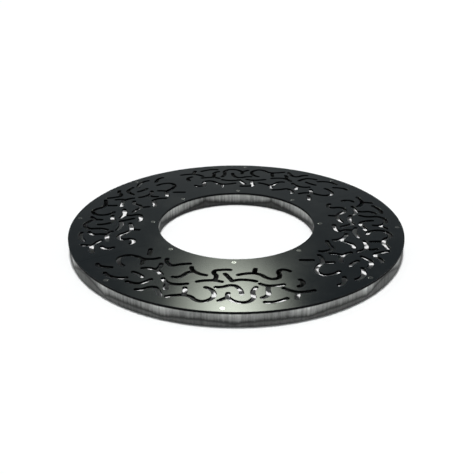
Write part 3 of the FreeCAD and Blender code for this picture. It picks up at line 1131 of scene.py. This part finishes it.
@dataclass
class PlateScrews:
    """Countersunk screws with hexagon sockets, level with the plate.

    Attributes:
        sink: how far a head lies below the plate's top.
        head_rim: steps of its rounded rim, each by how far in and how far down it lies.
        neck: width and height of the rounding below the head's cone.
        socket_cone: depth of the drill point below the socket.
        socket_draft: how narrow the socket is at its foot, as a share.
        chamfer: width and height of the socket's mouth.
    """

    finish: bpy.types.Material
    top: float = 53.0 * MM
    sink: float = 0.15 * MM
    head_radius: float = 7.9 * MM
    head_rim: tuple[Pair, ...] = (
        (0.56 * MM, 0.0), (0.5 * MM, 0.0), (0.15 * MM, 0.12 * MM), (0.0, 0.45 * MM),
    )
    neck: Pair = (0.2 * MM, 0.35 * MM)
    socket_flats: float = 5.0 * MM
    socket_depth: float = 2.6 * MM
    socket_cone: float = 0.8 * MM
    socket_draft: float = 0.98
    chamfer: float = 0.3 * MM
    thread: Thread = Thread(3.9 * MM, 0.6 * MM, 1.25 * MM, 34.6 * MM, 28.0 * MM)
    sides: int = 48
    layout: ScrewLayout = field(default_factory=ScrewLayout)

    def head(self) -> Surface:
        """Socket, head and plain shank of an upright screw.

        The profile's radius is a hexagon's in the socket and one number at each step outside it.

        Returns:
            The surface, open where the thread begins.
        """
        hexagonal = hexagon(self.socket_flats, self.sides)
        top, shank = self.top - self.sink, self.thread.radius
        cone_foot = top - self.head_rim[-1][1] - (self.head_radius - shank)
        rows = [
            (0.0, top - self.socket_depth - self.socket_cone),
            (hexagonal * self.socket_draft, top - self.socket_depth),
            (hexagonal, top - self.chamfer),
            (hexagonal + self.chamfer, top),
            *((self.head_radius - inset, top - fall) for inset, fall in self.head_rim),
            (shank + self.neck[0], cone_foot),
            (shank, cone_foot - self.neck[1]),
            (shank, self.thread.top),
        ]
        return lathe(rows, self.sides)

    def build(self) -> None:
        """Makes the screws of each half as one piece."""
        one = Surface.joined([self.head(), self.thread.surface(self.sides)])
        half_a = Surface.joined([one.moved((c.real, c.imag, 0.0)) for c in self.layout.centres()])
        for half in Half:
            made = half_a.turned(half).piece(f"socket_screws_{half.letter}", self.finish)
            enlist(made, half.body, Slot.SCREW, f"plate_screws_{half.letter}")


@dataclass
class RolledBand:
    """A flat bar rolled on edge into a half ring, with softened corners."""

    node: str
    finish: bpy.types.Material
    inner: float
    outer: float
    height: float = 45.0 * MM
    corner: float = 0.8 * MM
    corner_steps: int = 4
    seam_gap: float = 0.6 * MM
    steps: int = 240

    def surface(self) -> Surface:
        """Half a ring.

        A rounded rectangle is carried round half a circle, from seam face to seam face.

        Returns:
            The closed surface.
        """
        quarter = np.exp(1j * np.linspace(0.0, 0.5 * math.pi, self.corner_steps))
        centres = np.array([
            complex(self.outer - self.corner, self.height - self.corner),
            complex(self.inner + self.corner, self.height - self.corner),
            complex(self.inner + self.corner, self.corner),
            complex(self.outer - self.corner, self.corner),
        ])
        turns = 1j ** np.arange(4)
        profile = (centres[:, None] + self.corner * turns[:, None] * quarter[None, :]).ravel()
        start = np.arcsin(0.5 * self.seam_gap / profile.real)
        share = np.linspace(0.0, 1.0, self.steps)[:, None]
        angle = start + share * (math.pi - 2.0 * start)
        upright = np.broadcast_to(profile.imag, angle.shape)
        ring = [profile.real * np.cos(angle), profile.real * np.sin(angle), upright]
        body = Surface.from_grid(np.stack(ring, axis=-1))
        count = len(profile)
        index = np.arange(1, count - 1)
        cap = np.stack([np.zeros_like(index), index, index + 1], axis=1)
        body.triangles = np.concatenate([cap[:, ::-1], cap + count * (self.steps - 1)])
        body.quads = body.quads[:, ::-1]
        body.flat = np.ones(len(body.triangles), bool)
        return body

    def build(self) -> None:
        """Makes both halves."""
        surface = self.surface()
        for half in Half:
            made = surface.turned(half).piece(f"{self.node}_band_{half.letter}", self.finish)
            enlist(made, "frame", Slot.GALVANISED, f"{self.node}_{half.letter}")


@dataclass
class SeamFasteners:
    """Hexagon bolts, washers and nuts that draw the two halves together, lying along Y."""

    finish: bpy.types.Material
    places: tuple[float, ...] = (-523.0 * MM, -359.5 * MM, 359.5 * MM, 523.0 * MM)
    axis_height: float = 22.5 * MM
    seat: float = 8.0 * MM
    flats: float = 16.0 * MM
    face_radius: float = 7.5 * MM
    head_height: float = 6.4 * MM
    nut_height: float = 8.4 * MM
    nut_cone: float = 0.6 * MM
    collar: float = 0.4 * MM
    trim_angle: float = 30.0
    washer_radius: float = 10.0 * MM
    washer_thickness: float = 2.0 * MM
    washer_edge: float = 0.25 * MM
    hole_radius: float = 5.3 * MM
    thread: Thread = Thread(5.0 * MM, 0.75 * MM, 1.5 * MM, -14.5 * MM, -22.0 * MM)
    sides: int = 48
    sharp: float = 20.0

    def trimmed(self, face: float, way: float) -> list[tuple[Any, Any]]:
        """Rim of a hexagon's face, and its corners, which a cone trims.

        Args:
            face: height of the face.
            way: 1 for a face that looks up and -1 for one that looks down.

        Returns:
            Radius and height of both steps.
        """
        corners = hexagon(self.flats, self.sides)
        fall = way * (corners - self.face_radius) * math.tan(math.radians(self.trim_angle))
        return [(self.face_radius, face), (corners, face - fall)]

    def bolt(self) -> Surface:
        """Head with trimmed corners, collar, shank and thread, from the top down.

        Returns:
            The upright bolt.
        """
        corners = hexagon(self.flats, self.sides)
        rows = [(0.0, self.seat + self.head_height)]
        rows += self.trimmed(self.seat + self.head_height, 1.0)
        rows += [
            (corners, self.seat + self.collar),
            (self.face_radius, self.seat + self.collar),
            (self.face_radius, self.seat),
            (self.thread.radius, self.seat),
            (self.thread.radius, self.thread.top),
        ]
        return Surface.joined([lathe(rows, self.sides), self.thread.surface(self.sides)])

    def nut(self) -> Surface:
        """Hexagon with trimmed corners at both faces, round a bore that opens with a cone.

        Returns:
            The upright nut.
        """
        top, foot = -self.seat, -self.seat - self.nut_height
        cone = self.hole_radius + self.nut_cone
        rows = [(cone, top)] + self.trimmed(top, 1.0) + self.trimmed(foot, -1.0)[::-1]
        rows += [
            (cone, foot),
            (self.hole_radius, foot + self.nut_cone),
            (self.hole_radius, top - self.nut_cone),
            (cone, top),
        ]
        return lathe(rows, self.sides)

    def washer(self, top: float) -> Surface:
        """Flat ring with softened outer edges.

        Args:
            top: height of its upper face.

        Returns:
            The lying washer.
        """
        foot, edge = top - self.washer_thickness, self.washer_edge
        rows = [
            (self.hole_radius, top),
            (self.washer_radius - edge, top),
            (self.washer_radius, top - edge),
            (self.washer_radius, foot + edge),
            (self.washer_radius - edge, foot),
            (self.hole_radius, foot),
            (self.hole_radius, top),
        ]
        return lathe(rows, self.sides)

    def laid(self, upright: Surface) -> Surface:
        """A form turned so that its top looks along Y, at each bolt's place.

        Args:
            upright: the form.

        Returns:
            All of them as one surface.
        """
        across, deep, high = upright.points.T
        lying = replace(upright, points=np.stack([across, high, -deep], axis=1))
        return Surface.joined([lying.moved((x, 0.0, self.axis_height)) for x in self.places])

    def build(self) -> None:
        """Makes the bolts, the washers and the nuts."""
        tops = (self.seat, self.washer_thickness - self.seat)
        forms = {
            ("hexagon", "bolts"): self.bolt(),
            ("flat", "washers"): Surface.joined([self.washer(top) for top in tops]),
            ("hexagon", "nuts"): self.nut(),
        }
        for (form, kind), surface in forms.items():
            made = self.laid(surface).piece(f"{form}_{kind}", self.finish, sharp=self.sharp)
            enlist(made, "frame", Slot.FASTENER, f"seam_{kind}")


@dataclass
class WeldBeads:
    """Fillet welds that join bars and lugs to the bands, rippled along their runs.

    Attributes:
        leg: width on the bar and on the band.
        bulge: how far the section is pushed out.
        sunk: how far its back reaches into the corner.
        pitch: length of a ripple.
        ripple: how much of the legs swells.
        lag: how much later the middle of the section swells, in pitches.
        blunt: power by which the ends round off.
        rings: steps to each pitch.
        least_rings: fewest steps in a bead.
    """

    finish: bpy.types.Material
    leg: float = 4.0 * MM
    bulge: float = 0.5 * MM
    sunk: float = 0.3 * MM
    pitch: float = 2.6 * MM
    ripple: float = 0.09
    lag: float = 1.6
    blunt: int = 8
    rings: int = 8
    least_rings: int = 12
    columns: int = 7
    foot_columns: int = 25
    sharp: float = 60.0
    inner_face: float = 289.5 * MM
    outer_face: float = 593.0 * MM
    bar_thickness: float = 6.0 * MM
    bar_run: Pair = (2.0 * MM, 43.0 * MM)
    lug_run: Pair = (35.2 * MM, 44.2 * MM)
    lug_foot: float = 35.0 * MM
    lug_width: float = 36.0 * MM
    screws: ScrewLayout = field(default_factory=ScrewLayout)

    def bead(self, path: np.ndarray, along_bar: np.ndarray, off_bar: np.ndarray) -> Surface:
        """One bead in the corner between a bar and a band.

        Its section runs from one leg's end to the other, pushed out by a half wave. The legs
        swell once along each pitch, later in the middle of the section than at its sides, and
        shrink to nothing at both ends of the run.

        Args:
            path: points along the corner.
            along_bar: direction of the leg on the bar.
            off_bar: direction of the leg on the band.

        Returns:
            The closed surface.
        """
        run = np.concatenate([[0.0], np.cumsum(np.linalg.norm(np.diff(path, axis=0), axis=1))])
        steps = max(self.least_rings, round(self.rings * run[-1] / self.pitch))
        even = np.linspace(0.0, run[-1], steps)
        corner = np.stack([np.interp(even, run, path[:, axis]) for axis in range(3)], axis=1)
        share = np.linspace(0.0, 1.0, self.columns)[None, :]
        phase = even[:, None] / self.pitch + self.lag * (share - 0.5) ** 2
        swell = np.abs(np.sin(math.pi * phase))
        taper = 1.0 - (2.0 * even / run[-1] - 1.0) ** self.blunt
        taper = np.sqrt(np.clip(taper, 0.0, 1.0))[:, None]
        reach = self.leg * taper * (1.0 - self.ripple + self.ripple * swell)
        push = self.bulge * taper * np.sin(math.pi * share)
        first = reach * (1.0 - share) + push
        second = reach * share + push
        back = np.broadcast_to(-self.sunk * taper, (steps, 1))
        first = np.concatenate([first, back], axis=1)[..., None]
        second = np.concatenate([second, back], axis=1)[..., None]
        grid = corner[:, None, :] + first * along_bar + second * off_bar
        way = np.dot(path[-1] - path[0], np.cross(along_bar, off_bar))
        return Surface.from_grid(grid if way < 0.0 else grid[::-1])

    def bar_beads(self) -> list[Surface]:
        """Upright beads of half a: one at each seam bar's end, two at each end of the middle bar.

        Returns:
            A surface for each bead.
        """
        rise = np.array(self.bar_run)[:, None] * np.array([0.0, 0.0, 1.0])
        found = []
        for face, inward in ((self.inner_face, 1.0), (self.outer_face, -1.0)):
            for side in (1.0, -1.0):
                across, deep = np.array([side, 0.0, 0.0]), np.array([0.0, 1.0, 0.0])
                seam = face * across + self.bar_thickness * deep + rise
                found.append(self.bead(seam, inward * across, deep))
                middle = 0.5 * self.bar_thickness * across + face * deep + rise
                found.append(self.bead(middle, inward * deep, across))
        return found

    def lug_beads(self) -> list[Surface]:
        """Beads of half a below each lug and up its two sides.

        Returns:
            A surface for each bead.
        """
        found = []
        up = np.array([0.0, 0.0, 1.0])
        rings = (
            (self.screws.inner_angles, self.inner_face, 1.0),
            (self.screws.outer_angles, self.outer_face, -1.0),
        )
        for angles, face, inward in rings:
            for angle in np.radians(angles):
                out = np.array([math.cos(angle), math.sin(angle), 0.0])
                aside = np.array([-math.sin(angle), math.cos(angle), 0.0])
                across = np.linspace(-0.5, 0.5, self.foot_columns)[:, None] * self.lug_width
                depth = np.sqrt(face**2 - across**2)
                foot = out * depth + aside * across + up * self.lug_foot
                found.append(self.bead(foot, inward * out, -up))
                for side, end in ((-1.0, 0), (1.0, -1)):
                    rise = foot[end] * (1.0, 1.0, 0.0) + up * np.array(self.lug_run)[:, None]
                    found.append(self.bead(rise, inward * out, side * aside))
        return found

    def build(self) -> None:
        """Makes the beads of each half as one piece."""
        half_a = Surface.joined(self.bar_beads() + self.lug_beads())
        for half in Half:
            name = f"weld_beads_{half.letter}"
            made = half_a.turned(half).piece(name, self.finish, sharp=self.sharp)
            enlist(made, "frame", Slot.GALVANISED)


@dataclass
class FrameBars:
    """Flat bars and lugs under the plate, which keep their shapes and get their finish."""

    zinc: bpy.types.Material
    softening: float = 0.6 * MM
    segments: int = 2

    def dress(self) -> None:
        """Gives each bar and lug its finish and softened corners."""
        for name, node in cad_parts.items():
            if node.hide_render:
                continue
            node.data.materials.clear()
            node.data.materials.append(self.zinc)
            node.modifiers.new("weld", "WELD").merge_threshold = SAME_PLACE
            bevel = node.modifiers.new("soften", "BEVEL")
            bevel.width = self.softening
            bevel.segments = self.segments
            bevel.limit_method = "ANGLE"
            LOG.info("%s: finish %s", name, self.zinc.name)


@dataclass(frozen=True)
class SoftBox:
    """An oval studio lamp that glossy surfaces mirror and matt ones take no light from."""

    name: str
    place: Point
    aim: Point
    width: float
    height: float
    radiance: float
    colour: Triple

    def build(self) -> None:
        """Hangs the lamp, whose power is its radiance times its area and pi."""
        lamp = bpy.data.lights.new(self.name, "AREA")
        lamp.shape = "ELLIPSE"
        lamp.size, lamp.size_y = self.width, self.height
        area = 0.25 * math.pi * self.width * self.height
        lamp.energy = math.pi * area * self.radiance
        lamp.color = self.colour
        hang(self.name, lamp, self.place, self.aim).visible_diffuse = False


@dataclass(frozen=True)
class Gleam:
    """Nested oval lamps behind the grate, whose gleam on the plate fades as a bell curve does."""

    place: Point = (1.353, 2.373, 2.38)
    aim: Point = (-0.1, -0.3, 0.05)
    width: float = 0.262
    height: float = 0.305
    radiance: float = 13.7
    count: int = 6
    spacing: float = 0.015
    colour: Triple = (0.93, 1.0, 0.86)
    tail_place: Point = (1.05, 2.55, 2.38)
    tail_size: Pair = (1.3, 1.5)
    tail_radiance: float = 0.25

    def build(self) -> None:
        """Hangs the lamps, each a little behind the last with an equal share, and a dim one."""
        reach = np.sqrt(-2.0 * np.log((np.arange(self.count)[::-1] + 0.5) / self.count))
        back = (Vector(self.place) - Vector(self.aim)).normalized()
        for number, share in enumerate(reach.tolist()):
            place = tuple(Vector(self.place) + back * (self.spacing * number))
            size = 2.0 * share * self.width, 2.0 * share * self.height
            each = self.radiance / self.count
            SoftBox(f"gleam_{number}", place, self.aim, *size, each, self.colour).build()
        tail = (self.tail_place, self.aim, *self.tail_size, self.tail_radiance, self.colour)
        SoftBox("gleam_tail", *tail).build()


@dataclass(frozen=True)
class Overhead:
    """Even light from a round patch of ceiling, which the plate doesn't mirror."""

    name: str = "overhead"
    place: Point = (0.15, 0.3, 3.0)
    spread: float = 7.0
    strength: float = 2.52

    def build(self) -> None:
        """Hangs the lamp so that it shines down on the grate."""
        lamp = bpy.data.lights.new(self.name, "SUN")
        lamp.angle = math.radians(self.spread)
        lamp.energy = self.strength
        hang(self.name, lamp, self.place, (0.0, 0.0, 0.0)).visible_glossy = False


def hang(name: str, data: bpy.types.ID, place: Point, aim: Point) -> bpy.types.Object:
    """Puts a lamp or camera in its place, looking at its aim.

    Args:
        name: the object's name.
        data: the lamp or camera.
        place: where it hangs.
        aim: the point it looks at.

    Returns:
        The new object.
    """
    made = bpy.data.objects.new(name, data)
    made.location = place
    made.rotation_euler = (Vector(aim) - Vector(place)).to_track_quat("-Z", "Y").to_euler()
    bpy.context.scene.collection.objects.link(made)
    return made


@dataclass
class Studio:
    """Paper floor, lamps, dim surroundings and the camera."""

    paper: bpy.types.Material
    backdrop: Colour = (1.0, 1.0, 1.0, 1.0)
    floor_size: float = 80.0
    floor_steps: int = 3
    surroundings: tuple[Pair, ...] = (
        (0.0, 0.40), (0.35, 0.225), (0.385, 0.165), (0.44, 0.125),
        (0.53, 0.09), (0.72, 0.11), (0.88, 0.42), (1.0, 0.48),
    )
    tint: Triple = (0.95, 1.0, 1.0)
    eye: Point = (-1.1103, -1.8975, 1.0833)
    look: Point = (0.45341, 0.7728, -0.44407)
    lens: float = 50.458

    def build(self) -> None:
        """Makes the stage, the light and the camera."""
        scene = bpy.context.scene
        scene.view_settings.view_transform = "Standard"
        side = np.linspace(-0.5, 0.5, self.floor_steps) * self.floor_size
        across, deep = np.meshgrid(side, side, indexing="ij")
        sheet = np.stack([across, deep, np.zeros_like(across)], axis=-1)
        Surface.from_grid(sheet, closed=False).piece("floor", self.paper)
        scene.world = self.room()
        Overhead().build()
        Gleam().build()
        camera = bpy.data.cameras.new("camera")
        camera.lens = self.lens
        aim = tuple(np.add(self.eye, self.look))
        scene.camera = hang("camera", camera, self.eye, aim)

    def room(self) -> bpy.types.World:
        """Grey surroundings, dimmest at half height, which the camera itself sees as white.

        Returns:
            The world.
        """
        recipe = Recipe(bpy.data.worlds.new("surroundings"))
        way = recipe.add("ShaderNodeTexCoord", {}, {}, "Generated")
        rows = self.surroundings
        stops = [(rise, (*(grey * part for part in self.tint), 1.0)) for rise, grey in rows]
        shade = recipe.add("ShaderNodeValToRGB", {"stops": stops}, {"Fac": recipe.split(way)[2]})
        seen = recipe.add("ShaderNodeLightPath", {}, {}, "Is Camera Ray")
        colour = recipe.mix(seen, shade, self.backdrop)
        glow = recipe.add("ShaderNodeBackground", {}, {"Color": colour})
        recipe.close(glow, "ShaderNodeOutputWorld")
        return recipe.owner


def main() -> None:
    """Builds each sub-assembly in order and reports its pieces."""
    logging.basicConfig(level=logging.INFO, format="%(message)s")
    TopPlate(PlateCoat().material(), CUT_EDGE.material()).build()
    PlateScrews(BRIGHT_SCREW.material()).build()
    outer_zinc, inner_zinc = OUTER_BAND_ZINC.material(), INNER_BAND_ZINC.material()
    RolledBand("outer_rim", outer_zinc, inner=593.0 * MM, outer=599.0 * MM).build()
    RolledBand("inner_rim", inner_zinc, inner=283.5 * MM, outer=289.5 * MM).build()
    SeamFasteners(ZINC_FASTENER.material()).build()
    zinc = DippedZinc().material()
    WeldBeads(zinc).build()
    FrameBars(zinc).dress()
    Studio(FloorPaper().material()).build()


if __name__ == "__main__":
    main()
